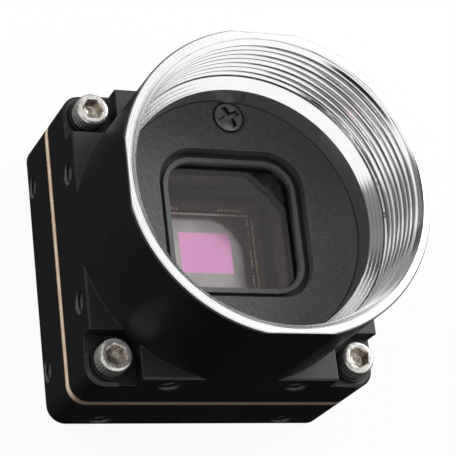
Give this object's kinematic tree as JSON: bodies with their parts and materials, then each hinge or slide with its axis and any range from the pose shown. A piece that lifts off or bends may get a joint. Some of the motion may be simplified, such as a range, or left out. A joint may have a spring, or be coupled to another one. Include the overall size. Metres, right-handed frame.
{
  "type": "machine vision camera",
  "caption": "Compact square machine vision camera with a C-mount thread, a filter window over the sensor, corner screws in pockets, threaded side holes and rear data and trigger connectors.",
  "frame": {"origin": "centre of the rear face, where the square body stands on it", "axes": "+Z along the optical axis out of the lens mount, +Y towards the side away from the data connector, +X to the right when looking into the lens mount with +Y up"},
  "size_m": [0.0264, 0.0264, 0.0256],
  "materials": {
    "black_anodised": "black anodised, fine satin",
    "turned_steel": "turned bright, threads cut inside",
    "grey_anodised": "dark grey anodised, fine grain",
    "steel_screw": "plain steel",
    "grey_rubber": "light grey, matt",
    "filter_glass": "coated, slightly tinted",
    "black_foam": "black foam",
    "ceramic_carrier": "brown ceramic",
    "silicon": "polished silicon with a pink active area",
    "gold_contact": "gold plated",
    "clear_glass": "clear",
    "plated_board": "glass epoxy with a gold plated edge",
    "capacitor": "ceramic chips",
    "green_board": "green solder resist",
    "black_chip": "moulded black",
    "thermal_pad": "soft silicone",
    "metal_can": "plated lid",
    "connector_plastic": "black liquid crystal polymer",
    "plated_sheet": "tin plated sheet",
    "header_plastic": "black moulding",
    "led_lens": "clear resin",
    "clear_pipe": "clear, matt face",
    "socket_screw": "stainless steel, knurled side",
    "dark_washer": "black oxide"
  },
  "bodies": {
    "root": {"front_housing": "black_anodised", "rear_housing": "black_anodised", "lens_mount_ring": "turned_steel", "retainer_plate": "grey_anodised", "retainer_screws": "steel_screw", "filter_gasket": "grey_rubber", "ir_filter": "filter_glass", "sensor_gasket": "black_foam", "sensor_package": "ceramic_carrier", "sensor_die": "silicon", "bond_fingers": "gold_contact", "sensor_cover_glass": "clear_glass", "sensor_board": "plated_board", "sensor_capacitors": "capacitor", "processor_board": "green_board", "processor_chip": "black_chip", "thermal_pad": "thermal_pad", "memory_chip": "black_chip", "clock_oscillator": "metal_can", "power_inductor": "black_chip", "board_capacitors": "capacitor", "board_screws": "steel_screw", "mezzanine_socket": "connector_plastic", "mezzanine_plug": "connector_plastic", "usb_shell": "plated_sheet", "usb_tongue": "connector_plastic", "usb_contacts": "gold_contact", "io_header": "header_plastic", "io_pins": "gold_contact", "status_led": "led_lens", "light_pipe": "clear_pipe", "housing_screws": "socket_screw", "screw_washers": "dark_washer"}
  },
  "joints": []
}
